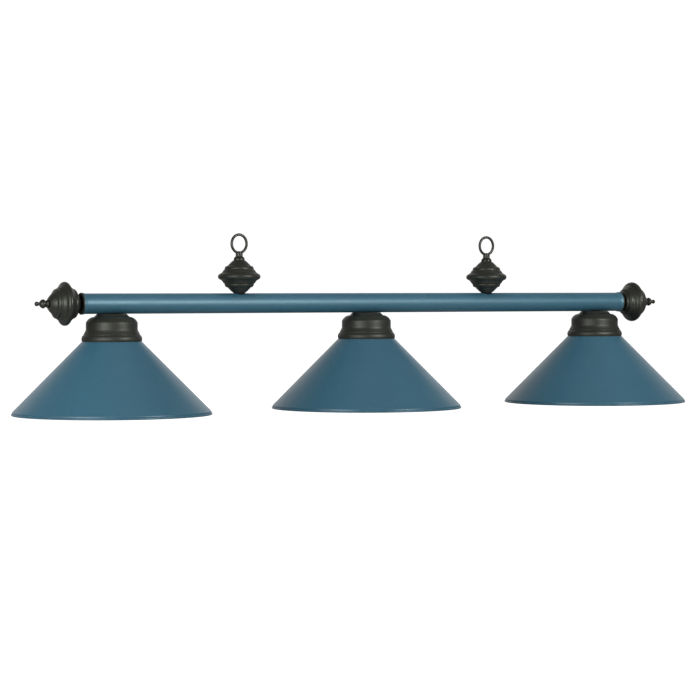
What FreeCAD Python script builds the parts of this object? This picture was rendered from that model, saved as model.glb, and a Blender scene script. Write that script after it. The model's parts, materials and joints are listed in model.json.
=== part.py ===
import FreeCAD, Part
import math
import os
from FreeCAD import Vector

# Three-shade pool table lamp: a tube that hangs from two loops, with a ball
# ornament and a finial at each end, and three fitter cups that carry cone
# shades, lamp sockets and bulbs.
#
# Units are millimetres. +X runs along the bar, +Z is up. The origin is the
# middle of the lamp on the plane of the shade rims. Pieces are modelled with
# heights counted from the bar's axis, AXIS_Z above that plane. Pieces at the
# bar's ends are turned about Z, with z as the distance from the lamp's middle.

os.makedirs("parts", exist_ok=True)

# ---------------------------------------------------------------- driving sizes
SHADE_PITCH = 508.0        # between shade centres
RIM_R = 177.8
AXIS_Z = 197.4             # bar axis above the rim plane
HANGER_X = 260.5           # hanging loops either side of the middle
HEAD_X = {"left": -SHADE_PITCH, "center": 0.0, "right": SHADE_PITCH}
SIDES = {"left": -1.0, "right": 1.0}

FIT = 0.05                 # clearance between mating pieces
SHEET = 0.9                # wall of the spun balls

TUBE_R = 18.2
TUBE_WALL = 1.2
TUBE_IN_R = TUBE_R - TUBE_WALL
TUBE_HALF = 562.0          # half length of the tube

BALL_R = 38.8              # ball ornament, radius at its equator
BALL_H = 29.5              # equator to pole
BALL_GAP = 0.03            # rim of each half to the equator
HANGER_BALL_Z = 48.3       # equator of a hanger ball above the axis
END_BALL_X = 595.9         # equator of an end ball from the middle
END_PLATE = 23.6           # equator to the flat inner end of an end ball
END_PLATE_X = END_BALL_X - END_PLATE

NIPPLE_R = 5.0             # threaded lamp nipple
NIPPLE_BORE_R = 3.4
NIPPLE_TAP_R = NIPPLE_R + FIT
HOLE_R = 5.1               # clearance hole for a nipple
HANGER_NIPPLE_SPAN = (9.0, 86.2)
HEAD_NIPPLE_SPAN = (-46.5, -9.0)

NUT_ACROSS = 14.0          # across the flats
NUT_HEIGHT = 3.2
NUT_CHAMFER = 0.5
HANGER_NUT_Z = 12.2        # undersides of the nuts
HEAD_NUTS_Z = (-15.4, -27.6)

STUD_R = 3.175             # finial stud
STUD_TAP_R = STUD_R + 0.06
STUD_CUP_R = STUD_R + 0.1
STUD_BALL_R = STUD_R + 0.15

LOOP_Z = 108.2             # middle of the hanging ring above the axis
LOOP_HALF_WIDTH = 14.75    # of the ring's centreline
LOOP_HALF_HEIGHT = 16.5
LOOP_WIRE_R = 2.5
WIREWAY_R = 2.9            # cord hole through the loop's neck

SHADE_SHEET = 0.7
CONE_RUN = 0.9909          # shade radius gained per mm of drop
DISC_Z = -67.1             # top face of a shade's neck disc
BARREL_R = 19.6            # threaded socket barrel
RIVET_R = 2.0              # rivet of the socket's centre contact

WIRE_R = 1.05
WIRE_BEND = 6.0            # bend radius of the wire's centreline
WIRE_OFFSET = 1.25         # wire centreline from a nipple's axis, in x and y
WIRE_SPREAD = 4.6          # y offset where link wires spread apart


# ---------------------------------------------------------------- helpers
class Profile:
    """Closed outline of (r, z) points, turned into a solid about Z."""

    def __init__(self, r, z):
        self.start = Vector(r, 0, z)
        self.end = self.start
        self.edges = []

    def line(self, *points):
        """Straight edges; a point that repeats the last one is skipped."""
        for r, z in points:
            point = Vector(r, 0, z)
            if point.distanceToPoint(self.end) > 1e-7:
                self.edges.append(Part.LineSegment(self.end, point).toShape())
                self.end = point
        return self

    def arc(self, middle, end):
        middle, end = [Vector(r, 0, z) for r, z in (middle, end)]
        self.edges.append(Part.Arc(self.end, middle, end).toShape())
        self.end = end
        return self

    def spline(self, *points, tangents=None):
        """Smooth curve through the points; tangents holds its two end directions."""
        through = [self.end] + [Vector(r, 0, z) for r, z in points]
        curve = Part.BSplineCurve()
        if tangents:
            first, last = [Vector(r, 0, z) for r, z in tangents]
            curve.interpolate(Points=through, InitialTangent=first, FinalTangent=last)
        else:
            curve.interpolate(through)
        self.edges.append(curve.toShape())
        self.end = through[-1]
        return self

    def solid(self):
        self.line((self.start.x, self.start.z))
        face = Part.Face(Part.Wire(self.edges))
        turned = face.revolve(Vector(0, 0, 0), Vector(0, 0, 1), 360).Solids[0]
        if turned.Volume < 0:
            turned.reverse()
        return turned


def moved(shape, x=0.0, z=0.0):
    copy = shape.copy()
    copy.translate(Vector(x, 0, z))
    return copy


def flipped(shape):
    """Turned upside down about X."""
    copy = shape.copy()
    copy.rotate(Vector(0, 0, 0), Vector(1, 0, 0), 180)
    return copy


def along_bar(shape, sign):
    """Local +Z laid along the bar, outwards on the side of the given sign."""
    copy = shape.copy()
    copy.rotate(Vector(0, 0, 0), Vector(0, 1, 0), 90 * sign)
    return moved(copy, z=AXIS_Z)


def bored(shape, r, z0, z1):
    """Drilled along Z, with the drill 1 mm past both ends."""
    return shape.cut(Part.makeCylinder(r, z1 - z0 + 2, Vector(0, 0, z0 - 1)))


def ring(r_out, r_in, z0, z1):
    return bored(Part.makeCylinder(r_out, z1 - z0, Vector(0, 0, z0)), r_in, z0, z1)


def cylinders_around(count, circle_r, r, height, z):
    """Upright cylinders evenly spaced on a circle about Z."""
    cylinders = []
    for i in range(count):
        angle = 2 * math.pi * i / count
        foot = Vector(circle_r * math.cos(angle), circle_r * math.sin(angle), z)
        cylinders.append(Part.makeCylinder(r, height, foot))
    return Part.makeCompound(cylinders)


def largest_solid(shape):
    return max(shape.Solids, key=lambda solid: solid.Volume)


def save(name, *shapes):
    solids = [solid for shape in shapes for solid in shape.Solids]
    result = solids[0] if len(solids) == 1 else Part.makeCompound(solids)
    result.exportStep(f"parts/{name}.step")


# ---------------------------------------------------------------- hardware
def hex_nut(z0):
    """Hexagon nut with flats facing +Y and -Y and chamfered corners."""
    z1 = z0 + NUT_HEIGHT
    corner_r = NUT_ACROSS / math.sqrt(3)
    angles = [math.radians(60 * i) for i in range(7)]
    corners = [Vector(corner_r * math.cos(a), corner_r * math.sin(a), z0) for a in angles]
    prism = Part.Face(Part.makePolygon(corners)).extrude(Vector(0, 0, z1 - z0))
    face_r = corner_r - NUT_CHAMFER
    drop = NUT_CHAMFER * 0.6
    chamfered = (
        Profile(0, z0)
        .line((face_r, z0), (corner_r, z0 + drop))
        .line((corner_r, z1 - drop), (face_r, z1), (0, z1))
        .solid()
    )
    return bored(prism.common(chamfered), NIPPLE_TAP_R, z0, z1)


def nipple(span):
    return ring(NIPPLE_R, NIPPLE_BORE_R, *span)


# ---------------------------------------------------------------- bar
def tube_cylinder(r, half_length):
    """Cylinder along X, centred on the origin."""
    return Part.makeCylinder(r, 2 * half_length, Vector(-half_length, 0, 0), Vector(1, 0, 0))


def bar_tube():
    """Tube with holes in its underside for the heads and on top for the hangers."""
    tube = tube_cylinder(TUBE_R, TUBE_HALF).cut(tube_cylinder(TUBE_IN_R, TUBE_HALF + 1))
    reach = 30
    drills = [Part.makeCylinder(HOLE_R, reach, Vector(x, 0, -reach)) for x in HEAD_X.values()]
    for sign in SIDES.values():
        drills.append(Part.makeCylinder(HOLE_R, reach, Vector(sign * HANGER_X, 0, 0)))
    for drill in drills:
        tube = tube.cut(drill)
    return moved(tube, z=AXIS_Z)


def tube_seat(r, z0, z1):
    """Boss with a clearance hole, hollowed to fit the round tube."""
    return ring(r, HOLE_R, z0, z1).cut(tube_cylinder(TUBE_R + FIT, 30))


def end_collar():
    """Slightly flared sleeve over the tube's end."""
    return (
        Profile(TUBE_R + FIT, 559.6)
        .line((TUBE_R + 0.3, 559.6))
        .spline((18.85, 561.0), (19.25, 562.5), (19.45, 564.4))
        .line((TUBE_R + FIT, 564.4))
        .solid()
    )


def end_cup():
    """Cup on the tube's end: rolled lip, deep mouth and a hub for the end ball."""
    foot_x = TUBE_HALF + 0.1
    hub_x = END_PLATE_X - FIT
    return (
        Profile(STUD_CUP_R, foot_x)
        .line((TUBE_R, foot_x), (TUBE_R, 564.45), (19.3, 564.45))
        .spline((19.55, 565.3), (19.2, 566.4), (18.0, 567.0))
        .spline((15.9, 567.0), (13.9, 566.2), (12.7, 564.9), (12.3, 563.5))
        .line((8.4, 563.5), (7.5, 564.3), (7.5, END_PLATE_X - 0.7))
        .line((6.9, hub_x), (STUD_CUP_R, hub_x))
        .solid()
    )


def end_plug():
    """Turned plug in the tube's end, tapped for the finial stud."""
    plug_r = TUBE_IN_R - FIT
    inner_x = TUBE_HALF - 14.0
    outer_x = TUBE_HALF - 0.1
    return (
        Profile(STUD_TAP_R, inner_x)
        .line((16.2, inner_x), (plug_r, inner_x + 0.8), (plug_r, outer_x), (STUD_TAP_R, outer_x))
        .solid()
    )


def finial_stud():
    """Rod with chamfered ends."""
    return (
        Profile(0, 546.0)
        .line((2.6, 546.0), (STUD_R, 546.6), (STUD_R, 636.9), (2.6, 637.5), (0, 637.5))
        .solid()
    )


def finial_knob():
    """Turned knob: foot bead, large bead, thin neck and ball tip."""
    foot_x = END_BALL_X + BALL_H + FIT
    return (
        Profile(STUD_TAP_R, foot_x)
        .line((6.3, foot_x))
        .arc((7.25, 627.4), (6.3, 629.6))
        .arc((5.35, 630.7), (5.9, 631.8))
        .spline(
            (7.2, 633.2), (8.05, 634.9), (8.1, 636.3), (7.4, 638.2),
            (5.9, 640.1), (4.1, 641.6), (2.9, 642.8), (2.75, 643.7),
        )
        .spline((3.1, 644.5), (3.95, 646.1), (4.15, 647.7), (3.6, 649.4), (2.1, 650.7), (0, 651.1))
        .line((0, 639.4), (STUD_TAP_R, 638.6))
        .solid()
    )


# ---------------------------------------------------------------- ball ornaments
# Arcs on the outside of a ball half, from its rim up: (r, z) of middle and end.
BALL_ARCS = (
    ((37.6, 3.5), (35.6, 5.1)),      # cove
    ((32.6, 6.7), (30.2, 9.2)),      # bead
    ((29.0, 11.3), (27.4, 12.7)),    # bead
    ((26.7, 13.4), (26.6, 14.4)),    # groove
    ((25.7, 17.2), (22.8, 19.4)),    # shoulder
    ((21.2, 19.9), (20.2, 20.8)),    # groove
)

# Inside of a ball half, from the crown down to the rim: (r, z).
BALL_INSIDE = (
    (18.9, 20.1), (21.9, 18.3), (24.3, 16.5), (25.5, 14.3), (25.9, 12.8),
    (27.9, 10.8), (28.9, 8.8), (31.7, 5.6), (34.9, 4.1), (36.7, 2.8),
)


def ball_shell(hole_r, arc_middle, top, inside_top_r, inside_shoulder):
    """Half a ball whose crown arc ends at top, the (r, z) edge of a flat face."""
    top_z = top[1]
    under_z = top_z - SHEET
    profile = Profile(BALL_R, BALL_GAP)
    for middle, end in BALL_ARCS:
        profile.arc(middle, end)
    return (
        profile.arc(arc_middle, top)
        .line((hole_r, top_z), (hole_r, under_z), (inside_top_r, under_z), inside_shoulder)
        .line(*BALL_INSIDE, (BALL_R - SHEET, BALL_GAP))
        .solid()
    )


def domed_ball_half(hole_r):
    """Half with a cone-shaped pole."""
    return ball_shell(hole_r, (16.1, 25.1), (11.0, BALL_H), 10.6, (15.0, 24.6))


def flat_ball_half(hole_r):
    """Half next to the bar; it ends in a flat plate instead of a pole."""
    return ball_shell(hole_r, (18.5, 22.5), (15.8, END_PLATE), 15.2, (17.5, 21.3))


# ---------------------------------------------------------------- hangers
def hanger_ball_lower():
    """Lower half with a boss that sits on the tube."""
    half = moved(flipped(domed_ball_half(HOLE_R)), z=HANGER_BALL_Z)
    return half.fuse(tube_seat(10.0, 13.0, HANGER_BALL_Z - BALL_H + 0.4)).Solids[0]


def neck_turning(bore_r):
    """Turned outline of a loop's neck: tapped foot, bead, grip and shoulder."""
    return (
        Profile(NIPPLE_TAP_R, 77.85)
        .line((9.9, 77.85))
        .spline((10.1, 79.2), (9.8, 81.1), (8.9, 83.0))
        .spline((8.2, 84.0), (6.9, 84.9), (6.55, 86.0))
        .line((6.55, 90.4))
        .spline((6.5, 91.8), (5.9, 93.2), (4.9, 94.2))
        .line((WIREWAY_R, 94.6), (bore_r, 94.6), (bore_r, 87.2), (NIPPLE_TAP_R, 86.4))
        .solid()
    )


def loop_neck():
    """Neck with the wireway through it and fine grip flutes round it."""
    flutes = cylinders_around(count=24, circle_r=6.75, r=0.42, height=4.4, z=85.6)
    return largest_solid(neck_turning(WIREWAY_R).cut(flutes))


def hanging_loop():
    """Ring of round wire; its two ends are brazed to the neck's shoulder."""
    # The centreline is an ellipse in the XZ plane with its long axis upright.
    centreline = Part.Ellipse(
        Vector(0, 0, LOOP_Z + LOOP_HALF_HEIGHT),
        Vector(LOOP_HALF_WIDTH, 0, LOOP_Z),
        Vector(0, 0, LOOP_Z),
    ).toShape()
    start = centreline.valueAt(centreline.FirstParameter)
    tangent = centreline.tangentAt(centreline.FirstParameter)
    section = Part.Wire([Part.makeCircle(LOOP_WIRE_R, start, tangent)])
    body = Part.Wire([centreline]).makePipeShell([section], True, True)
    # A nearly closed bore lets the neck trim the wire that would lie inside it.
    body = body.cut(neck_turning(0.5))
    # The ends stop at the shoulder, clear of the wireway.
    body = body.cut(Part.makeCylinder(4.9, 12, Vector(0, 0, 86.9)))
    return largest_solid(body)


# ---------------------------------------------------------------- lamp heads
def fitter_cap():
    """Stepped washer between the tube and the cup, seated on the tube."""
    washer = (
        Profile(HOLE_R, -18.3)
        .line((25.6, -18.3))
        .spline((26.6, -18.6), (27.6, -19.5), (28.8, -21.0), (30.1, -22.2), (31.2, -22.8))
        .line(
            (30.4, -23.3), (29.9, -23.3), (29.2, -22.7), (27.8, -21.3),
            (26.6, -20.0), (25.4, -19.3), (HOLE_R, -19.3),
        )
        .solid()
    )
    return largest_solid(washer.fuse(tube_seat(9.0, -18.8, -13.0)))


def fitter_cup():
    """Spun husk that hides the socket: shoulder, drum, flare, groove and bead."""
    return (
        Profile(HOLE_R, -23.35)
        .line((31.8, -23.35))
        .spline(
            (35.4, -24.1), (38.8, -25.7), (42.1, -28.3), (44.8, -31.8), (45.8, -35.4),
            tangents=((1, -0.05), (0, -1)),
        )
        .line((45.8, -44.8))
        .spline((46.5, -47.9), (48.15, -51.3), (49.8, -54.1), tangents=((0, -1), (0.55, -1)))
        .arc((49.75, -55.3), (50.9, -56.2))
        .spline((52.4, -57.8), (53.4, -60.2), (53.75, -62.7), (53.4, -65.2), (52.7, -67.0))
        # inside, from the mouth up
        .line(
            (51.3, -67.0), (51.3, -60.7), (50.3, -59.7), (49.9, -57.6), (48.7, -55.2),
            (47.2, -51.7), (45.6, -48.1), (44.9, -45.0), (44.9, -35.5), (43.9, -32.3),
            (41.4, -29.15), (38.3, -26.65), (35.1, -25.1), (31.7, -24.3), (HOLE_R, -24.3),
        )
        .solid()
    )


def socket_cap():
    """Moulded top of the lamp socket, tapped for the nipple."""
    return (
        Profile(NIPPLE_TAP_R, -40.5)
        .line((8.4, -40.5), (9.0, -41.1), (9.0, -44.6))
        .spline((13.8, -45.8), (18.0, -48.6), (20.5, -52.6))
        .line(
            (20.5, -56.0), (19.0, -56.0), (19.0, -52.9), (16.9, -50.2),
            (13.2, -47.9), (9.0, -47.5), (NIPPLE_TAP_R, -47.5),
        )
        .solid()
    )


def socket_body():
    """Moulded socket body: flange above the shade's disc, threaded barrel below."""
    hole_r = RIVET_R + FIT
    return (
        Profile(hole_r, -60.0)
        .line(
            (18.5, -60.0), (18.5, -56.05), (20.5, -56.05), (20.5, -63.4),
            (23.6, -64.0), (24.0, -64.4), (24.0, -67.0), (BARREL_R, -67.0),
            (BARREL_R, -95.4), (19.0, -96.0), (14.6, -96.0), (14.2, -95.6),
            (14.2, -66.5), (hole_r, -66.5),
        )
        .solid()
    )


def socket_shell():
    """Aluminium screw shell inside the socket body."""
    return (
        Profile(14.1, -66.6)
        .line((14.1, -94.4))
        .arc((13.77, -94.75), (13.45, -94.4))
        .line((13.45, -67.3), (9.0, -67.3), (9.0, -66.6))
        .solid()
    )


def socket_contact():
    """Centre contact with its rivet through the socket's floor."""
    return (
        Profile(0, -58.0)
        .line((RIVET_R, -58.0), (RIVET_R, -66.55), (5.0, -66.55), (5.0, -67.2))
        .spline((4.0, -68.6), (2.2, -69.4), (0, -69.6))
        .solid()
    )


def shade():
    """Cone shade: neck disc with the socket hole, cone, and rolled rim."""
    hole_r = 20.3
    top_r, top_z = 54.25, -68.5         # upper end of the cone's outside line
    start_z = top_z + 0.05              # where the neck's corner meets the cone
    end_z = -190.6
    end_r = top_r + CONE_RUN * (top_z - end_z)
    hem_r = 1.75                        # rolled rim, about its centre below
    hem_x, hem_z = RIM_R - hem_r, -AXIS_Z + hem_r
    skirt_r = end_r + 0.8               # where the skirt turns straight down
    # Offset from the cone's outside line to its inside line.
    slope = math.hypot(1, CONE_RUN)
    in_r, in_z = -SHADE_SHEET / slope, -SHADE_SHEET * CONE_RUN / slope

    def on_hem(angle):
        return hem_x + hem_r * math.cos(angle), hem_z + hem_r * math.sin(angle)

    hem_start = math.acos((skirt_r - hem_x) / hem_r)
    return (
        Profile(hole_r, DISC_Z)
        .line((52.2, DISC_Z))
        .arc((53.3, DISC_Z - 0.35), (top_r, start_z))
        .line((end_r, end_z))
        .spline(
            (end_r + 0.62, end_z - 0.85), (skirt_r, hem_z + hem_r + 0.15),
            tangents=((CONE_RUN, -1), (0, -1)),
        )
        .line(on_hem(hem_start))
        .arc(on_hem(hem_start / 2 - 0.9), on_hem(-math.pi / 2))
        .arc(on_hem(math.pi), on_hem(math.pi - 0.9))
        .line((end_r + in_r - 0.15, end_z + in_z - 0.3), (end_r + in_r, end_z + in_z))
        .line((top_r + in_r, start_z + in_z))
        .line((52.4, DISC_Z - SHADE_SHEET), (hole_r, DISC_Z - SHADE_SHEET))
        .solid()
    )


def shade_ring():
    """Threaded ring that clamps the shade, with finger notches."""
    bore_r = BARREL_R + 0.06
    top = DISC_Z - SHADE_SHEET - FIT
    body = (
        Profile(bore_r, top)
        .line((28.0, top), (28.4, top - 0.4), (28.4, top - 2.0), (26.4, top - 2.6))
        .line((26.1, top - 7.4), (25.5, top - 8.0), (20.2, top - 8.0), (bore_r, top - 7.5))
        .solid()
    )
    notches = cylinders_around(count=16, circle_r=27.1, r=1.5, height=5.2, z=top - 8.4)
    return body.cut(notches).Solids[0]


def bulb_base():
    """Screw base with rolled thread crests."""
    root_r, flank_r, crest_r = 12.3, 12.65, 13.2
    thread_top, thread_pitch = -77.6, 3.6286
    profile = Profile(11.7, -75.3).line((12.1, -75.3), (root_r, -76.6))
    for i in range(5):
        z = thread_top - i * thread_pitch
        # The first crest rises straight from the base's shoulder.
        if i > 0:
            profile.line((root_r, z))
        profile.spline(
            (flank_r, z - 0.35), (crest_r, z - 1.15), (flank_r, z - 1.95), (root_r, z - 2.4)
        )
    return (
        profile.line((12.4, -96.0), (12.4, -96.6), (11.9, -96.6), (11.9, -81.5), (11.7, -81.3))
        .solid()
    )


def bulb_tip():
    """Centre contact and insulator of the screw base."""
    return (
        Profile(0, -69.75)
        .spline((2.4, -69.85), (4.2, -70.35), (4.8, -71.2))
        .line((5.2, -71.4), (10.9, -74.7))
        .arc((11.45, -75.1), (11.6, -75.8))
        .line((11.6, -80.6), (0, -80.6))
        .solid()
    )


def bulb_glass():
    """Hollow pear-shaped envelope; its neck sits in the screw base."""
    r, centre_z = 30.0, -149.7          # round lower end
    inner_r = r - 0.8
    cos_mid, sin_mid = math.cos(0.9), math.sin(0.9)
    return (
        Profile(11.8, -88.0)
        .line((11.8, -96.7), (12.5, -96.9))
        .spline(
            (13.0, -99.5), (14.4, -104.8), (17.5, -112.2), (21.9, -121.2),
            (26.2, -131.0), (29.1, -141.0), (r, centre_z),
            tangents=((0.1, -1), (0, -1)),
        )
        .arc((r * cos_mid, centre_z - r * sin_mid), (0, centre_z - r))
        .line((0, centre_z - inner_r))
        .arc((inner_r * cos_mid, centre_z - inner_r * sin_mid), (inner_r, centre_z))
        .line(
            (28.3, -141.0), (25.4, -131.2), (21.1, -121.6), (16.7, -112.6),
            (13.55, -105.0), (12.2, -99.7), (11.0, -97.0), (11.0, -88.0),
        )
        .solid()
    )


# ---------------------------------------------------------------- wires
def bent_wire(points):
    """Round wire along a polyline whose corners are bent to WIRE_BEND."""
    points = [Vector(*point) for point in points]
    edges = []
    previous = points[0]
    for before, corner, after in zip(points, points[1:], points[2:]):
        dir_in = (corner - before).normalize()
        dir_out = (after - corner).normalize()
        half_angle = dir_in.getAngle(dir_out) / 2
        setback = WIRE_BEND * math.tan(half_angle)
        bend_start = corner - dir_in * setback
        bend_end = corner + dir_out * setback
        inward = (dir_out - dir_in).normalize()
        middle = corner + inward * (WIRE_BEND / math.cos(half_angle) - WIRE_BEND)
        edges.append(Part.LineSegment(previous, bend_start).toShape())
        edges.append(Part.Arc(bend_start, middle, bend_end).toShape())
        previous = bend_end
    edges.append(Part.LineSegment(previous, points[-1]).toShape())
    direction = (points[1] - points[0]).normalize()
    section = Part.Wire([Part.makeCircle(WIRE_R, points[0], direction)])
    return Part.Wire(edges).makePipeShell([section], True, True)


def conductor(sign):
    """Daisy chain of one conductor: left hanger to left, middle and right sockets."""
    y, spread_y = sign * WIRE_OFFSET, sign * WIRE_SPREAD
    socket_z = AXIS_Z - 56.0
    supply_z = AXIS_Z - 2.0
    link_z = AXIS_Z + 3.0
    left, right = HEAD_X["left"], HEAD_X["right"]
    supply = [
        (-HANGER_X, y, AXIS_Z + 80.0),
        (-HANGER_X, y, supply_z),
        (left + WIRE_OFFSET, y, supply_z),
        (left + WIRE_OFFSET, y, socket_z),
    ]
    left_link = [
        (left - WIRE_OFFSET, y, socket_z),
        (left - WIRE_OFFSET, y, link_z),
        (left + 18.0, y, link_z),
        (left + 40.0, spread_y, link_z),
        (-40.0, spread_y, link_z),
        (-18.0, y, link_z),
        (-WIRE_OFFSET, y, link_z),
        (-WIRE_OFFSET, y, socket_z),
    ]
    right_link = [
        (WIRE_OFFSET, y, socket_z),
        (WIRE_OFFSET, y, link_z),
        (right - WIRE_OFFSET, y, link_z),
        (right - WIRE_OFFSET, y, socket_z),
    ]
    return [bent_wire(points) for points in (supply, left_link, right_link)]


# ---------------------------------------------------------------- build
save("bar_tube", bar_tube())

end_pieces = {
    "end_collar": end_collar(),
    "end_cup": end_cup(),
    "end_ball_outer": moved(domed_ball_half(STUD_BALL_R), z=END_BALL_X),
    "end_ball_inner": moved(flipped(flat_ball_half(STUD_BALL_R)), z=END_BALL_X),
    "finial_knob": finial_knob(),
}
hanger_pieces = {
    "hanger_ball_upper": moved(domed_ball_half(HOLE_R), z=HANGER_BALL_Z),
    "hanger_ball_lower": hanger_ball_lower(),
    "loop_neck": loop_neck(),
    "hanging_loop": hanging_loop(),
}
head_pieces = {
    "fitter_cap": fitter_cap(),
    "fitter_cup": fitter_cup(),
    "socket_cap": socket_cap(),
    "socket_body": socket_body(),
    "socket_shell": socket_shell(),
    "socket_contact": socket_contact(),
    "shade": shade(),
    "shade_ring": shade_ring(),
    "bulb_base": bulb_base(),
    "bulb_tip": bulb_tip(),
    "bulb_glass": bulb_glass(),
}

plugs, studs, hanger_nipples, head_nipples, nuts = [], [], [], [], []
for side, sign in SIDES.items():
    for name, piece in end_pieces.items():
        save(f"{name}_{side}", along_bar(piece, sign))
    plugs.append(along_bar(end_plug(), sign))
    studs.append(along_bar(finial_stud(), sign))

    x = sign * HANGER_X
    for name, piece in hanger_pieces.items():
        save(f"{name}_{side}", moved(piece, x, AXIS_Z))
    hanger_nipples.append(moved(nipple(HANGER_NIPPLE_SPAN), x, AXIS_Z))
    nuts.append(moved(hex_nut(HANGER_NUT_Z), x, AXIS_Z))

for head, x in HEAD_X.items():
    for name, piece in head_pieces.items():
        save(f"{name}_{head}", moved(piece, x, AXIS_Z))
    head_nipples.append(moved(nipple(HEAD_NIPPLE_SPAN), x, AXIS_Z))
    for nut_z in HEAD_NUTS_Z:
        nuts.append(moved(hex_nut(nut_z), x, AXIS_Z))

save("end_plugs", *plugs)
save("finial_studs", *studs)
save("hanger_nipples", *hanger_nipples)
save("head_nipples", *head_nipples)
save("lock_nuts", *nuts)
save("wires_black", *conductor(-1.0))
save("wires_white", *conductor(1.0))
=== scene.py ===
"""A three-headed hanging lamp: looks, floor, lights and camera.

The bar's tube lies along X. Two hanging loops rise from its top, and three blue shades,
white inside and open downwards, hang below it. The camera stands in front (-Y), to the left.
"""
import json
import math
from functools import cached_property

import bmesh
import bpy
from mathutils import Matrix, Vector


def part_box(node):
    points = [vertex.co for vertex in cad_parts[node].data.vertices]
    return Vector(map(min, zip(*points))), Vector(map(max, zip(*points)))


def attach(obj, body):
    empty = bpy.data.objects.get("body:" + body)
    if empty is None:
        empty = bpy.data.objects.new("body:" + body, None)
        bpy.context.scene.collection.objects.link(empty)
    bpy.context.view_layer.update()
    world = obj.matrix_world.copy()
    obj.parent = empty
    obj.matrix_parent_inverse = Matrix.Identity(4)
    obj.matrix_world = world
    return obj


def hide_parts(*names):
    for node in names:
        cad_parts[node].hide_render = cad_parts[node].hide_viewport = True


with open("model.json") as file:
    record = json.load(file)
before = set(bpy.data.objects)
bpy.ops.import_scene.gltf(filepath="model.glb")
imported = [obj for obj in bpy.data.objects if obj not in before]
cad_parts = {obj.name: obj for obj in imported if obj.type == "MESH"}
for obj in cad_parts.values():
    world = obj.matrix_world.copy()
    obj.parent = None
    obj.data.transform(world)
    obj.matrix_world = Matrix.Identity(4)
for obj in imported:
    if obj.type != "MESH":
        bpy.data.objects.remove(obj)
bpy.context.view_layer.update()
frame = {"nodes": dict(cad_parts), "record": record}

scene = bpy.context.scene
nodes = frame["nodes"]
slot_of = {part["node"]: part["material_slot"] for part in frame["record"]["subparts"]}
HEADS = ("left", "center", "right")
SIDES = ("left", "right")


def middle(name, axis):
    """The middle of a piece along one axis (0, 1, 2 for X, Y, Z)."""
    lo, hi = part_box(name)
    return (lo[axis] + hi[axis]) / 2


BAR_Z = middle("bar_tube", 2)

# ------------------------------------------------------------------ shader graphs
EDGE_GAIN = 5.0  # how quickly an edge mask reaches 1

SOCKETS = {
    "color": "Base Color",
    "rough": "Roughness",
    "metal": "Metallic",
    "normal": "Normal",
    "coat": "Coat Weight",
    "coat_rough": "Coat Roughness",
    "spec": "Specular IOR Level",
    "tint": "Specular Tint",
    "sss": "Subsurface Weight",
    "sss_radius": "Subsurface Radius",
    "sss_scale": "Subsurface Scale",
}


class Graph:
    """A node tree, emptied, with short ways to add nodes to it."""

    def __init__(self, owner):
        owner.use_nodes = True
        self.tree = owner.node_tree
        self.tree.nodes.clear()

    def put(self, socket, value):
        """Link a socket or set its value. A tuple is an RGB colour; a Vector is a vector."""
        if isinstance(value, bpy.types.NodeSocket):
            self.tree.links.new(value, socket)
        elif isinstance(value, tuple):
            socket.default_value = (*value, 1.0)
        else:
            socket.default_value = value

    def add(self, kind, inputs=None, **settings):
        # settings come first, as they decide which sockets are in use
        node = self.tree.nodes.new("ShaderNode" + kind)
        for name, value in settings.items():
            setattr(node, name, value)
        for socket, value in (inputs or {}).items():
            self.put(node.inputs[socket], value)
        return node

    def ramp(self, value, start=0.3, end=0.7, low=0.0, high=1.0, smooth=False):
        """Map start..end, by default the usual range of a noise, to low..high."""
        inputs = {"Value": value, "From Min": start, "From Max": end, "To Min": low, "To Max": high}
        kind = "SMOOTHSTEP" if smooth else "LINEAR"
        return self.add("MapRange", inputs, interpolation_type=kind).outputs["Result"]

    def math(self, operation, a, b, clamp=False):
        return self.add("Math", {0: a, 1: b}, operation=operation, use_clamp=clamp).outputs[0]

    def times(self, a, b, clamp=False):
        return self.math("MULTIPLY", a, b, clamp)

    def dot(self, a, b):
        return self.add("VectorMath", {0: a, 1: b}, operation="DOT_PRODUCT").outputs["Value"]

    def mix(self, factor, under, over):
        # sockets 6 and 7 and output 2 are the colour ones
        return self.add("Mix", {"Factor": factor, 6: under, 7: over}, data_type="RGBA").outputs[2]


class Mat(Graph):
    """One procedural material round a Principled shader."""

    def __init__(self, name):
        self.material = bpy.data.materials.new(name)
        super().__init__(self.material)
        self.out = self.add("OutputMaterial")
        self.bsdf = self.add("BsdfPrincipled")
        self.put(self.out.inputs[0], self.bsdf.outputs[0])

    @cached_property
    def coord(self):
        return self.add("TexCoord").outputs["Object"]

    def noise(self, scale, detail=3.0, rough=0.5, squeeze_z=None):
        vector = self.coord
        if squeeze_z:
            scaling = Vector((1.0, 1.0, squeeze_z))
            vector = self.add("Mapping", {"Scale": scaling, "Vector": vector}).outputs[0]
        inputs = {"Scale": scale, "Detail": detail, "Roughness": rough, "Vector": vector}
        return self.add("TexNoise", inputs).outputs["Fac"]

    def tones(self, noise, dark, light, start=0.3):
        return self.mix(self.ramp(noise, start=start), dark, light)

    def bump(self, height, strength, distance, under=None):
        inputs = {"Strength": strength, "Distance": distance, "Height": height}
        if under is not None:
            inputs["Normal"] = under
        return self.add("Bump", inputs).outputs[0]

    def edge(self, radius):
        """1 along sharp edges, 0 elsewhere: a bevelled normal against the true one."""
        bevel = self.add("Bevel", {"Radius": radius}, samples=4).outputs[0]
        normal = self.add("NewGeometry").outputs["Normal"]
        turned = self.math("SUBTRACT", 1.0, self.dot(bevel, normal))
        return self.times(turned, EDGE_GAIN, clamp=True)

    def set(self, **values):
        for name, value in values.items():
            self.put(self.bsdf.inputs[SOCKETS[name]], value)
        return self.material


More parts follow.
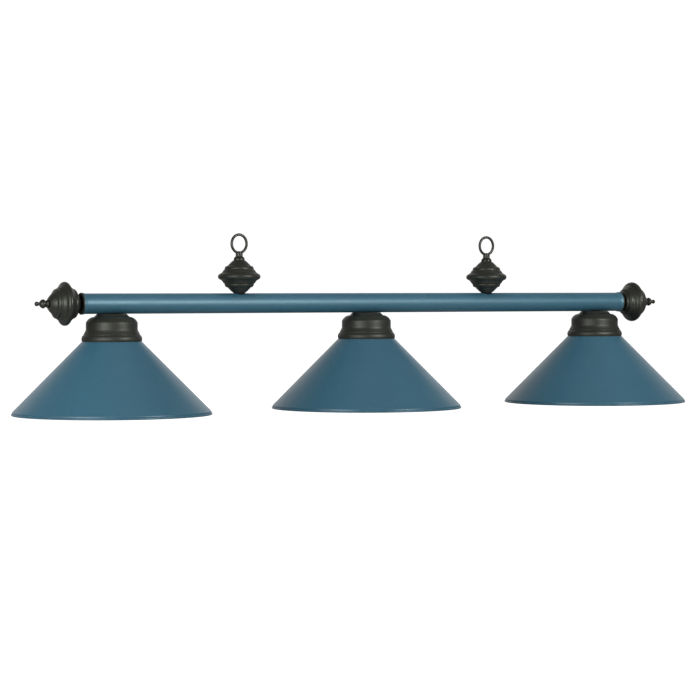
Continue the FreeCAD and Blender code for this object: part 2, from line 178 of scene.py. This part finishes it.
# ------------------------------------------------------------------ materials
# Each roughness range is (smoothest, roughest).
def blue_enamel(name, roughness, peel_strength, spec, tint):
    """Satin baked enamel: faint orange peel, mottled sheen, paler edges that are partly thinner
    paint and partly a painted highlight.
    """
    mat = Mat(name)
    cloud = mat.noise(scale=6.0, detail=4.0, rough=0.55)
    fine = mat.noise(scale=90.0, rough=0.6)
    base = mat.tones(cloud, dark=(0.0275, 0.093, 0.137), light=(0.032, 0.1035, 0.150))
    flecks = mat.ramp(fine, start=0.55, end=0.8, high=0.25)
    base = mat.mix(flecks, base, over=(0.050, 0.140, 0.200))
    patch = mat.noise(scale=60.0, detail=4.0, rough=0.65)
    patch = mat.ramp(patch, start=0.42, end=0.62, smooth=True)
    # edges lightened to pale blue-grey: partly worn thin paint, partly a painted highlight
    wear = mat.times(mat.edge(radius=0.0012), mat.times(patch, 0.75))
    base = mat.mix(wear, base, over=(0.17, 0.24, 0.27))
    smoothest, roughest = roughness
    sheen = mat.noise(scale=24.0, detail=4.0, rough=0.6)
    rough = mat.ramp(sheen, low=smoothest, high=roughest)
    peel = mat.noise(scale=650.0, detail=2.0)
    dust = mat.noise(scale=2600.0, detail=2.0, rough=0.6)
    normal = mat.bump(peel, strength=peel_strength, distance=0.0004)
    normal = mat.bump(dust, strength=0.10, distance=0.00012, under=normal)
    return mat.set(color=base, rough=rough, normal=normal, spec=spec, tint=tint)


def white_enamel():
    """The shades' reflecting inside: warm white baked enamel with sparse specks."""
    mat = Mat("white_enamel")
    cloud = mat.noise(scale=9.0, detail=4.0)
    base = mat.tones(cloud, dark=(0.80, 0.795, 0.77), light=(0.86, 0.855, 0.83))
    speck = mat.noise(scale=340.0, detail=2.0)
    speck = mat.ramp(speck, start=0.68, end=0.78, high=0.35, smooth=True)
    base = mat.mix(speck, base, over=(0.62, 0.60, 0.56))
    rough = mat.ramp(mat.noise(scale=30.0), low=0.33, high=0.45)
    normal = mat.bump(mat.noise(scale=520.0, detail=2.0), strength=0.18, distance=0.0004)
    return mat.set(color=base, rough=rough, normal=normal, coat=0.15, coat_rough=0.2)


def dark_bronze(name, roughness, rubbed, grit):
    """Black-brown powder finish: fine grain, and bare metal on rubbed edges."""
    mat = Mat(name)
    cloud = mat.noise(scale=28.0, detail=4.0, rough=0.6)
    base = mat.tones(cloud, dark=(0.0105, 0.0113, 0.0085), light=(0.0160, 0.0170, 0.0132))
    patch = mat.noise(scale=130.0, detail=4.0, rough=0.65)
    patch = mat.ramp(patch, start=0.40, end=0.62, smooth=True)
    wear = mat.times(mat.edge(radius=0.0010), mat.times(patch, rubbed))
    base = mat.mix(wear, base, over=(0.13, 0.115, 0.085))
    smoothest, roughest = roughness
    sheen = mat.noise(scale=70.0, detail=4.0, rough=0.6)
    rough = mat.ramp(sheen, low=smoothest, high=roughest)
    rough = mat.math("SUBTRACT", rough, mat.times(wear, 0.12))
    metal = mat.ramp(wear, start=0.0, end=1.0, high=0.75)
    normal = mat.bump(mat.noise(scale=1500.0, rough=0.6), strength=grit, distance=0.00022)
    return mat.set(
        color=base, rough=rough, metal=metal, normal=normal, spec=0.6, tint=(0.97, 1.0, 0.90)
    )


def painted_shade_black():
    """Painted shade: a near-black matt finish for the end cups' mouths and the feet by the tube,
    where shade falls.
    """
    mat = Mat("painted_shade_black")
    cloud = mat.noise(scale=60.0, detail=4.0, rough=0.6)
    base = mat.tones(cloud, dark=(0.0030, 0.0030, 0.0028), light=(0.0065, 0.0062, 0.0055))
    rough = mat.ramp(mat.noise(scale=300.0, rough=0.6), low=0.62, high=0.80)
    normal = mat.bump(mat.noise(scale=900.0, rough=0.6), strength=0.2, distance=0.0002)
    return mat.set(color=base, rough=rough, spec=0.12, normal=normal)


def zinc_steel():
    mat = Mat("zinc_steel")
    streak = mat.noise(scale=220.0, detail=4.0, rough=0.6, squeeze_z=6.0)
    base = mat.tones(streak, dark=(0.50, 0.49, 0.45), light=(0.66, 0.66, 0.64))
    rough = mat.ramp(mat.noise(scale=400.0, rough=0.6), low=0.26, high=0.42)
    normal = mat.bump(streak, strength=0.12, distance=0.0001)
    return mat.set(color=base, rough=rough, metal=1.0, normal=normal)


def black_steel_painted_shade():
    """Blackened steel tube: dark oxide, a little streaked, brighter on its edges; kept this dark
    partly as painted shade where it shows in gaps.
    """
    mat = Mat("black_steel_painted_shade")
    streak = mat.noise(scale=220.0, detail=4.0, rough=0.6, squeeze_z=6.0)
    base = mat.tones(streak, dark=(0.014, 0.013, 0.012), light=(0.034, 0.031, 0.028))
    base = mat.mix(mat.times(mat.edge(radius=0.0005), 0.5), base, over=(0.12, 0.11, 0.10))
    rough = mat.ramp(mat.noise(scale=400.0, rough=0.6), low=0.40, high=0.58)
    normal = mat.bump(streak, strength=0.12, distance=0.0001)
    return mat.set(color=base, rough=rough, metal=0.4, normal=normal)


def moulded_black():
    """Phenolic moulding: near black, faint mottling, slightly worn edges."""
    mat = Mat("moulded_black")
    mottle = mat.noise(scale=180.0, detail=4.0, rough=0.65)
    base = mat.tones(mottle, start=0.35, dark=(0.016, 0.015, 0.014), light=(0.034, 0.031, 0.028))
    base = mat.mix(mat.times(mat.edge(radius=0.0006), 0.5), base, over=(0.10, 0.09, 0.08))
    rough = mat.ramp(mat.noise(scale=300.0, rough=0.6), low=0.30, high=0.46)
    normal = mat.bump(mat.noise(scale=1200.0, detail=2.0), strength=0.15, distance=0.0002)
    return mat.set(color=base, rough=rough, normal=normal)


def brass():
    mat = Mat("contact_brass")
    tone = mat.noise(scale=240.0, detail=4.0, rough=0.6)
    base = mat.tones(tone, dark=(0.60, 0.42, 0.14), light=(0.74, 0.56, 0.24))
    rough = mat.ramp(tone, low=0.22, high=0.38)
    normal = mat.bump(tone, strength=0.1, distance=0.0001)
    return mat.set(color=base, rough=rough, metal=1.0, normal=normal)


def aluminium():
    mat = Mat("pressed_aluminium")
    streak = mat.noise(scale=160.0, detail=4.0, rough=0.6, squeeze_z=9.0)
    base = mat.tones(streak, dark=(0.68, 0.68, 0.66), light=(0.80, 0.80, 0.79))
    rough = mat.ramp(streak, low=0.22, high=0.36)
    normal = mat.bump(streak, strength=0.12, distance=0.0001)
    return mat.set(color=base, rough=rough, metal=1.0, normal=normal)


def insulator():
    mat = Mat("black_glass_insulator")
    tone = mat.noise(scale=300.0, rough=0.6)
    base = mat.tones(tone, dark=(0.010, 0.010, 0.014), light=(0.024, 0.023, 0.028))
    rough = mat.ramp(tone, low=0.08, high=0.2)
    return mat.set(color=base, rough=rough, coat=0.4, coat_rough=0.05)


def solder():
    mat = Mat("solder_tip")
    tone = mat.noise(scale=500.0, detail=4.0, rough=0.65)
    base = mat.tones(tone, dark=(0.50, 0.50, 0.50), light=(0.68, 0.68, 0.67))
    rough = mat.ramp(tone, low=0.3, high=0.5)
    normal = mat.bump(tone, strength=0.3, distance=0.0004)
    return mat.set(color=base, rough=rough, metal=1.0, normal=normal)


def frosted_glass():
    """Soft white lamp glass: a milky coating under a smooth outside."""
    mat = Mat("soft_white_glass")
    tone = mat.noise(scale=45.0, detail=4.0)
    base = mat.tones(tone, dark=(0.86, 0.86, 0.835), light=(0.91, 0.91, 0.89))
    rough = mat.ramp(mat.noise(scale=120.0), low=0.12, high=0.2)
    normal = mat.bump(mat.noise(scale=900.0, detail=2.0), strength=0.05, distance=0.0002)
    milk = {"sss": 0.25, "sss_radius": Vector((0.012, 0.011, 0.010)), "sss_scale": 0.5}
    return mat.set(color=base, rough=rough, coat=0.5, coat_rough=0.06, normal=normal, **milk)


def insulation(name, dark, light):
    mat = Mat(name)
    tone = mat.noise(scale=260.0, detail=4.0, rough=0.6)
    base = mat.tones(tone, dark=dark, light=light)
    rough = mat.ramp(tone, low=0.38, high=0.55)
    normal = mat.bump(tone, strength=0.12, distance=0.0002)
    return mat.set(color=base, rough=rough, normal=normal)


BLUE = blue_enamel(
    "blue_enamel", roughness=(0.29, 0.35), peel_strength=0.16, spec=0.5, tint=(1.0, 1.0, 1.0)
)
BLUE_TUBE = blue_enamel(
    "blue_enamel_tube", roughness=(0.45, 0.50), peel_strength=0.08, spec=0.62, tint=(0.64, 0.91, 1.0)
)
WHITE = white_enamel()
BRONZE = dark_bronze("dark_bronze", roughness=(0.44, 0.52), rubbed=0.6, grit=0.14)
BRONZE_BALL = dark_bronze("dark_bronze_ball", roughness=(0.36, 0.43), rubbed=0.2, grit=0.08)
BRONZE_HANGER = dark_bronze("dark_bronze_hanger", roughness=(0.43, 0.50), rubbed=0.12, grit=0.08)
BRONZE_TURNED = dark_bronze("dark_bronze_turned", roughness=(0.27, 0.36), rubbed=0.35, grit=0.06)
# blackened steel, dark partly as painted shade for the nipples' gaps
BLACK_STEEL_PAINTED_SHADE = black_steel_painted_shade()
# near-black matt painted shade
PAINTED_SHADE = painted_shade_black()
STEEL = zinc_steel()
BLACK = moulded_black()
BRASS = brass()
ALU = aluminium()
INSUL = insulator()
SOLDER = solder()
GLASS = frosted_glass()
WIRE_BLACK = insulation("wire_black", dark=(0.014, 0.014, 0.014), light=(0.028, 0.028, 0.028))
WIRE_WHITE = insulation("wire_white", dark=(0.70, 0.70, 0.66), light=(0.80, 0.80, 0.77))

BY_SLOT = {
    "blue_enamel": BLUE,
    "dark_bronze": BRONZE,
    "zinc_steel": STEEL,
    "moulded_plastic": BLACK,
    "brass": BRASS,
    "aluminium": ALU,
    "insulator": INSUL,
    "frosted_glass": GLASS,
    "black_insulation": WIRE_BLACK,
    "white_insulation": WIRE_WHITE,
}

# ------------------------------------------------------------------ painting the pieces
SHADED_MOUTH_RADIUS = 0.0182  # end cup: matt black painted shade inside this
SHADED_FOOT_REACH = 0.0205  # caps and hanger balls: matt black painted shade up to this far from the bar's axis
RIM_WIDTH = 0.0032  # the shade's rolled rim
SOLDER_HEIGHT = 0.0015  # the top of the bulb's tip


def paint(thing, *materials):
    thing.data.materials.clear()
    for material in materials:
        thing.data.materials.append(material)


def split(thing, is_second):
    """Give the faces that pass the test the second material, the others the first."""
    for face in thing.data.polygons:
        face.material_index = 1 if is_second(face) else 0


def paint_end_cup(name):
    """The cup's mouth is painted shade in matt black; its rolled lip is bronze."""
    paint(nodes[name], BRONZE, PAINTED_SHADE)
    lo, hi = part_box(name)
    mid = (lo + hi) / 2

    def in_shaded_mouth(face):
        return math.hypot(face.center.y - mid.y, face.center.z - mid.z) < SHADED_MOUTH_RADIUS

    split(nodes[name], in_shaded_mouth)


def is_shaded_foot(face):
    """A steep face close to the bar, in the tube's shade."""
    return abs(face.normal.z) < 0.3 and abs(face.center.z - BAR_Z) < SHADED_FOOT_REACH


def paint_shade(name):
    """Blue outside and white inside; the rolled rim stays blue."""
    paint(nodes[name], BLUE, WHITE)
    lo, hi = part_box(name)
    mid = (lo + hi) / 2

    def is_inside(face):
        radial = Vector((face.center.x - mid.x, face.center.y - mid.y, 0))
        outward = radial.normalized() if radial.length > 1e-6 else Vector((1, 0, 0))
        inward = face.normal.dot(outward) < 0.05 and face.normal.z < 0.2
        rim = radial.length > (hi.x - mid.x) - RIM_WIDTH
        return inward and not rim

    split(nodes[name], is_inside)


def paint_bulb_tip(name):
    """Solder on top, glass insulator below."""
    paint(nodes[name], INSUL, SOLDER)
    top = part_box(name)[1].z
    split(nodes[name], lambda face: face.center.z > top - SOLDER_HEIGHT)


for name, node in nodes.items():
    paint(node, BY_SLOT[slot_of[name]])

# the nipples show in the gaps under and over the tube; their blackened steel is dark partly as
# painted shade for these gaps
paint(nodes["head_nipples"], BLACK_STEEL_PAINTED_SHADE)
paint(nodes["hanger_nipples"], BLACK_STEEL_PAINTED_SHADE)

SIDE_PAINT = {
    "end_collar_": BLUE_TUBE,
    "end_ball_inner_": BRONZE_BALL,
    "end_ball_outer_": BRONZE_BALL,
    "hanger_ball_upper_": BRONZE_HANGER,
    "hanger_ball_lower_": BRONZE_HANGER,
    "finial_knob_": BRONZE_TURNED,
    "loop_neck_": BRONZE_TURNED,
    "hanging_loop_": BRONZE_TURNED,
}
for side in SIDES:
    for prefix, material in SIDE_PAINT.items():
        paint(nodes[prefix + side], material)
    paint_end_cup("end_cup_" + side)

# the foot of each cap and lower hanger ball, in the tube's shadow, gets matt black painted shade too
for name in ["fitter_cap_" + h for h in HEADS] + ["hanger_ball_lower_" + s for s in SIDES]:
    nodes[name].data.materials.append(PAINTED_SHADE)
    split(nodes[name], is_shaded_foot)

for head in HEADS:
    paint_shade("shade_" + head)
    paint_bulb_tip("bulb_tip_" + head)

# ------------------------------------------------------------------ the bar's tube
TUBE_SIDES = 144  # enough to keep the long highlight straight
TUBE_WALL = 0.0012
HOLE_RADIUS = 0.0051
HOLE_SIDES = 48
HOLE_MARGIN = 0.0075  # the tube has a ring this far to each side of a hole
DRILL_LENGTH = 0.03  # from the tube's axis out through its wall
WELD = 2e-6


def add_ring(bm, radius, x, y, z, sides, axis):
    ring = []
    for i in range(sides):
        angle = 2 * math.pi * i / sides
        a, b = radius * math.cos(angle), radius * math.sin(angle)
        ring.append(bm.verts.new((x, y + a, z + b) if axis == "x" else (x + a, y + b, z)))
    return ring


def skin(bm, first, second):
    count = len(first)
    for i in range(count):
        j = (i + 1) % count
        bm.faces.new((first[i], first[j], second[j], second[i]))


def to_object(bm, name):
    bmesh.ops.recalc_face_normals(bm, faces=bm.faces[:])
    mesh = bpy.data.meshes.new(name)
    bm.to_mesh(mesh)
    bm.free()
    thing = bpy.data.objects.new(name, mesh)
    scene.collection.objects.link(thing)
    return thing


def plain_tube(holes, y, z):
    lo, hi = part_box("bar_tube")
    radius = (hi.z - lo.z) / 2
    margins = [x + d for x, _ in holes for d in (-HOLE_MARGIN, HOLE_MARGIN)]
    stations = sorted([lo.x, hi.x] + margins)
    bm = bmesh.new()
    outer = [add_ring(bm, radius, x, y, z, TUBE_SIDES, "x") for x in stations]
    inner = [add_ring(bm, radius - TUBE_WALL, x, y, z, TUBE_SIDES, "x") for x in stations]
    for i in range(len(stations) - 1):
        skin(bm, outer[i], outer[i + 1])
        skin(bm, inner[i], inner[i + 1])
    skin(bm, outer[0], inner[0])
    skin(bm, outer[-1], inner[-1])
    return to_object(bm, "bar_tube_round")


def tube_drill(holes, y, z):
    bm = bmesh.new()
    for x, way in holes:
        start = add_ring(bm, HOLE_RADIUS, x, y, z, HOLE_SIDES, "z")
        end = add_ring(bm, HOLE_RADIUS, x, y, z + way * DRILL_LENGTH, HOLE_SIDES, "z")
        skin(bm, start, end)
        bm.faces.new(start)
        bm.faces.new(end)
    return to_object(bm, "tube_drill")


def round_tube():
    """The tube, with two holes in its top for the loops and three below for the heads."""
    y = middle("bar_tube", 1)
    # (x, way): way is 1 through the top and -1 through the bottom
    holes = [(middle("loop_neck_" + side, 0), 1) for side in SIDES]
    holes += [(middle("socket_cap_" + head, 0), -1) for head in HEADS]
    tube = plain_tube(holes, y, BAR_Z)
    drill = tube_drill(holes, y, BAR_Z)
    cut = tube.modifiers.new("holes", "BOOLEAN")
    cut.operation, cut.solver, cut.object = "DIFFERENCE", "EXACT", drill
    bpy.context.view_layer.update()
    depsgraph = bpy.context.evaluated_depsgraph_get()
    mesh = bpy.data.meshes.new_from_object(tube.evaluated_get(depsgraph))
    tube.modifiers.clear()
    bm = bmesh.new()
    bm.from_mesh(mesh)
    bmesh.ops.remove_doubles(bm, verts=bm.verts[:], dist=WELD)
    bmesh.ops.dissolve_degenerate(bm, edges=bm.edges[:], dist=WELD)
    bmesh.ops.triangulate(bm, faces=[face for face in bm.faces if len(face.verts) > 4])
    bm.to_mesh(mesh)
    bm.free()
    tube.data = mesh
    mesh.name = "bar_tube_round"
    bpy.data.objects.remove(drill)
    mesh.polygons.foreach_set("use_smooth", [True] * len(mesh.polygons))
    mesh.set_sharp_from_angle(angle=math.radians(35))
    paint(tube, BLUE_TUBE)
    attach(tube, "bar")
    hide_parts("bar_tube")
    return tube


TUBE = round_tube()

# ------------------------------------------------------------------ floor
FLOOR_Z = -0.62
FLOOR_HALF = 40.0
FLOOR_GLOW = 0.85  # seen by the camera only


def floor_white():
    mat = Mat("floor_white")
    # pale to the camera, dimmer in what it throws back up at the lamp
    to_camera = mat.add("LightPath").outputs["Is Camera Ray"]
    color = mat.mix(to_camera, under=(0.40, 0.40, 0.40), over=(0.90, 0.90, 0.90))
    mat.set(color=color, rough=0.8, spec=0.0)
    glow = mat.add("Emission", {"Strength": mat.times(to_camera, FLOOR_GLOW)})
    lit = mat.add("AddShader", {0: mat.bsdf.outputs[0], 1: glow.outputs[0]})
    # seen from below, the floor is clear, so that a low camera sees the lamp
    below = mat.add("NewGeometry").outputs["Backfacing"]
    clear = mat.add("BsdfTransparent")
    pick = mat.add("MixShader", {0: below, 1: lit.outputs[0], 2: clear.outputs[0]})
    mat.put(mat.out.inputs[0], pick.outputs[0])
    return mat.material


floor_mesh = bpy.data.meshes.new("floor")
bm = bmesh.new()
bmesh.ops.create_grid(bm, x_segments=8, y_segments=8, size=FLOOR_HALF)
bm.to_mesh(floor_mesh)
bm.free()
floor = bpy.data.objects.new("floor", floor_mesh)
floor.location = (0, 0, FLOOR_Z)
scene.collection.objects.link(floor)
floor_mesh.materials.append(floor_white())

# ------------------------------------------------------------------ world
CAMERA_YAW = 0.47172165  # radians from +Y towards +X
# strengths, by what sees the world
SEEN_STRENGTH, DIFFUSE_STRENGTH = 1.05, 0.36
ROOM_GLOSSY, BACKDROP_GLOSSY = 0.13, 0.75
WORLD_WHITE = (1.0, 1.0, 1.0)

world = bpy.data.worlds.new("studio")
scene.world = world
sky = Graph(world)
path = sky.add("LightPath")
# reflections see a bright backdrop behind the lamp and a dimmer room elsewhere
incoming = sky.add("NewGeometry").outputs["Incoming"]
along_view = sky.dot(incoming, Vector((-math.sin(CAMERA_YAW), -math.cos(CAMERA_YAW), 0.0)))
glossy = sky.ramp(
    along_view, start=0.35, end=0.95, low=ROOM_GLOSSY, high=BACKDROP_GLOSSY, smooth=True
)
level = sky.ramp(
    path.outputs["Is Glossy Ray"], start=0.0, end=1.0, low=DIFFUSE_STRENGTH, high=glossy
)
soft = sky.add("Background", {"Color": WORLD_WHITE, "Strength": level})
seen = sky.add("Background", {"Color": WORLD_WHITE, "Strength": SEEN_STRENGTH})
both = sky.add(
    "MixShader", {0: path.outputs["Is Camera Ray"], 1: soft.outputs[0], 2: seen.outputs[0]}
)
sky.add("OutputWorld", {0: both.outputs[0]})

# ------------------------------------------------------------------ lights
AIM_Z = 0.15


def softbox(name, angles, distance, size, power, aim_x=0.0, diffuse=True, glossy=True):
    """An area light round the lamp, aimed at (aim_x, 0, AIM_Z).

    angles are azimuth and elevation in degrees; azimuth 0 is in front (-Y) and grows
    towards +X. size is width and height. diffuse and glossy say which rays see it.
    """
    azimuth, elevation = (math.radians(angle) for angle in angles)
    away = Vector((
        math.sin(azimuth) * math.cos(elevation),
        -math.cos(azimuth) * math.cos(elevation),
        math.sin(elevation),
    ))
    data = bpy.data.lights.new(name, "AREA")
    data.shape = "RECTANGLE"
    data.size, data.size_y = size
    data.energy = power
    light = bpy.data.objects.new(name, data)
    light.location = Vector((aim_x, 0, AIM_Z)) + away * distance
    light.rotation_mode = "QUATERNION"
    light.rotation_quaternion = away.to_track_quat("Z", "Y")
    scene.collection.objects.link(light)
    light.visible_camera = False
    light.visible_diffuse = diffuse
    light.visible_glossy = glossy
    return light


# name, (azimuth, elevation), distance, (width, height), power
softbox("softbox_left", (-57, 6), 2.6, (1.3, 1.0), 31, aim_x=-0.1, diffuse=False)
softbox("softbox_left_fill", (-57, 9), 1.4, (0.8, 0.6), 11.3, aim_x=-0.45, glossy=False)
softbox("softbox_right", (21, 16), 2.6, (0.95, 0.40), 43)
softbox("softbox_top", (14, 76), 2.8, (3.0, 1.6), 24, glossy=False)
softbox("softbox_side", (-86, 14), 1.7, (0.9, 0.7), 7.5, aim_x=-0.5, glossy=False)

# a strip for the bar's tube and end collars alone
strip = softbox("softbox_bar", (0, 16), 2.6, (1.0, 0.5), 62, diffuse=False)
bar_only = bpy.data.collections.new("bar_only")
strip.light_linking.receiver_collection = bar_only
for thing in (TUBE, nodes["end_collar_left"], nodes["end_collar_right"]):
    bar_only.objects.link(thing)

# ------------------------------------------------------------------ camera
CAMERA_X, CAMERA_Y = -1.9515208, -3.7579353
CAMERA_RISE = 0.0140428  # above the bar's axis
CAMERA_PITCH, CAMERA_ROLL = -0.02422405, -0.00195984  # radians

camera_data = bpy.data.cameras.new("camera")
camera_data.sensor_width = 36.0
camera_data.lens = 116.24832
camera_data.clip_start, camera_data.clip_end = 0.05, 200
camera = bpy.data.objects.new("camera", camera_data)
scene.collection.objects.link(camera)
forward = Vector((
    math.sin(CAMERA_YAW) * math.cos(CAMERA_PITCH),
    math.cos(CAMERA_YAW) * math.cos(CAMERA_PITCH),
    math.sin(CAMERA_PITCH),
))
level_right = Vector((math.cos(CAMERA_YAW), -math.sin(CAMERA_YAW), 0))
level_up = level_right.cross(forward)
right = math.cos(CAMERA_ROLL) * level_right + math.sin(CAMERA_ROLL) * level_up
up = -math.sin(CAMERA_ROLL) * level_right + math.cos(CAMERA_ROLL) * level_up
camera.matrix_world = Matrix((
    (right.x, up.x, -forward.x, CAMERA_X),
    (right.y, up.y, -forward.y, CAMERA_Y),
    (right.z, up.z, -forward.z, BAR_Z + CAMERA_RISE),
    (0, 0, 0, 1),
))
scene.camera = camera

scene.view_settings.view_transform = "Standard"
scene.view_settings.look = "None"
